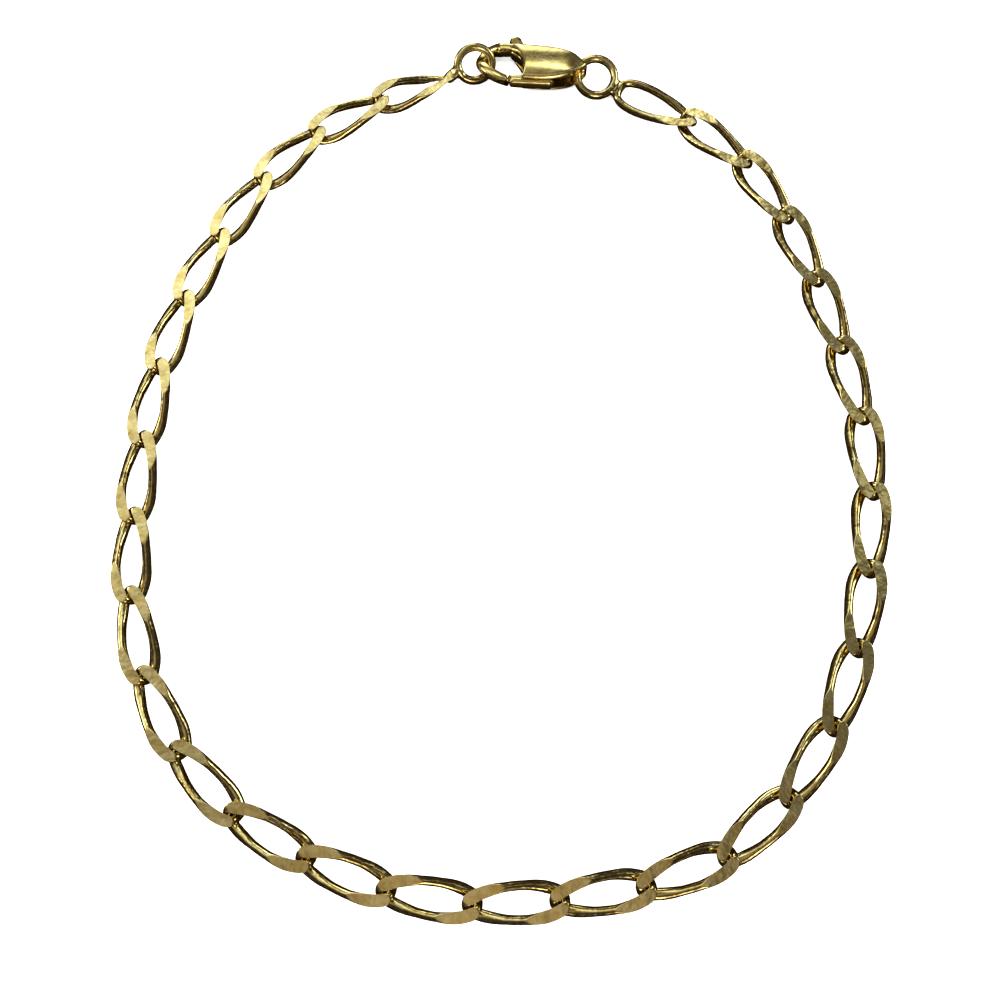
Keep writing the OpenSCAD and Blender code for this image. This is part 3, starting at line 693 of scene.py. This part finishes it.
# Soft lights round the table, as lobes of the sky: direction, sharpness, strength, colour
LOBES = [
    ((-0.27, 0.52, 0.81), 40.0, 1.15, (0.96, 1.0, 0.90)),
    ((0.12, 0.62, 0.78), 110.0, 2.0, (1.0, 1.0, 0.90)),
    ((-0.46, 0.22, 0.86), 30.0, 0.52, (1.0, 0.96, 0.82)),
    ((-0.05, -0.20, 0.98), 30.0, 0.33, (1.0, 0.79, 0.54)),
    ((0.42, 0.24, 0.88), 350.0, 0.8, (0.98, 1.0, 0.86)),
    ((-0.82, 0.25, 0.48), 70.0, 6.0, (1.0, 0.88, 0.68)),
    ((0.78, 0.30, 0.50), 70.0, 5.0, (1.0, 0.98, 0.84)),
    ((0.10, -0.84, 0.50), 60.0, 4.0, (1.0, 0.84, 0.62)),
    ((-0.05, 0.95, 0.22), 60.0, 3.5, (1.0, 0.97, 0.84)),
]
BASE_SKY = (0.014, 0.009, 0.003)
WHITE_SKY = (3.2, 3.2, 3.2)


def make_sky():
    """The world: white to the camera and to the paper, and to the metal a dark room with soft lights, each
    exp(k (d . c - 1)) about its own direction c."""
    world = bpy.data.worlds.new("soft_room")
    bpy.context.scene.world = world
    world.use_nodes = True
    t = world.node_tree
    t.nodes.clear()
    d = node(t, "ShaderNodeTexCoord").outputs["Generated"]
    total = node(t, "ShaderNodeRGB").outputs[0]
    total.default_value = (*BASE_SKY, 1)
    for c, sharp, strength, colour in LOBES:
        c = np.array(c) / np.linalg.norm(c)
        dot = node(t, "ShaderNodeVectorMath", {0: d, 1: tuple(c)}, operation="DOT_PRODUCT").outputs["Value"]
        power = node(t, "ShaderNodeMath", {0: dot, 1: sharp, 2: -sharp}, operation="MULTIPLY_ADD").outputs[0]
        lobe = node(t, "ShaderNodeMath", {0: power}, operation="EXPONENT").outputs[0]
        lit = node(t, "ShaderNodeVectorMath", {0: tuple(strength * k for k in colour)}, operation="SCALE")
        t.links.new(lobe, lit.inputs["Scale"])
        total = node(t, "ShaderNodeVectorMath", {0: total, 1: lit.outputs[0]}, operation="ADD").outputs[0]
    glossy = node(t, "ShaderNodeLightPath").outputs["Is Glossy Ray"]
    seen = node(t, "ShaderNodeMix", data_type="RGBA")
    t.links.new(glossy, seen.inputs[0])
    seen.inputs[6].default_value = (*WHITE_SKY, 1)
    t.links.new(total, seen.inputs[7])
    back = node(t, "ShaderNodeBackground", {"Color": seen.outputs[2], "Strength": 1.0}).outputs[0]
    node(t, "ShaderNodeOutputWorld", {"Surface": back})


make_sky()

CAMERA_AT = np.array([-0.18, -21.16, 66.48])
CAMERA_TILT, CAMERA_ROLL = 13.46, -2.844
lean, roll = math.radians(CAMERA_TILT), math.radians(CAMERA_ROLL)
right, up = np.array([1, 0, 0]), np.array([0, math.cos(lean), math.sin(lean)])
back = np.array([0, -math.sin(lean), math.cos(lean)])
rolled_right = right * math.cos(roll) + up * math.sin(roll)
rolled_up = up * math.cos(roll) - right * math.sin(roll)
camera_data = bpy.data.cameras.new("camera")
camera_data.sensor_width = 36
camera_data.lens = 32.4
camera_data.clip_start = 0.001
camera = bpy.data.objects.new("camera", camera_data)
camera_turn = np.stack([rolled_right, rolled_up, back], -1)
camera.matrix_world = Matrix([[*row, at * MM] for row, at in zip(camera_turn, CAMERA_AT)] + [[0, 0, 0, 1]])
bpy.context.scene.collection.objects.link(camera)
bpy.context.scene.camera = camera
bpy.context.scene.view_settings.view_transform = "Standard"
bpy.context.scene.view_settings.look = "Medium High Contrast"
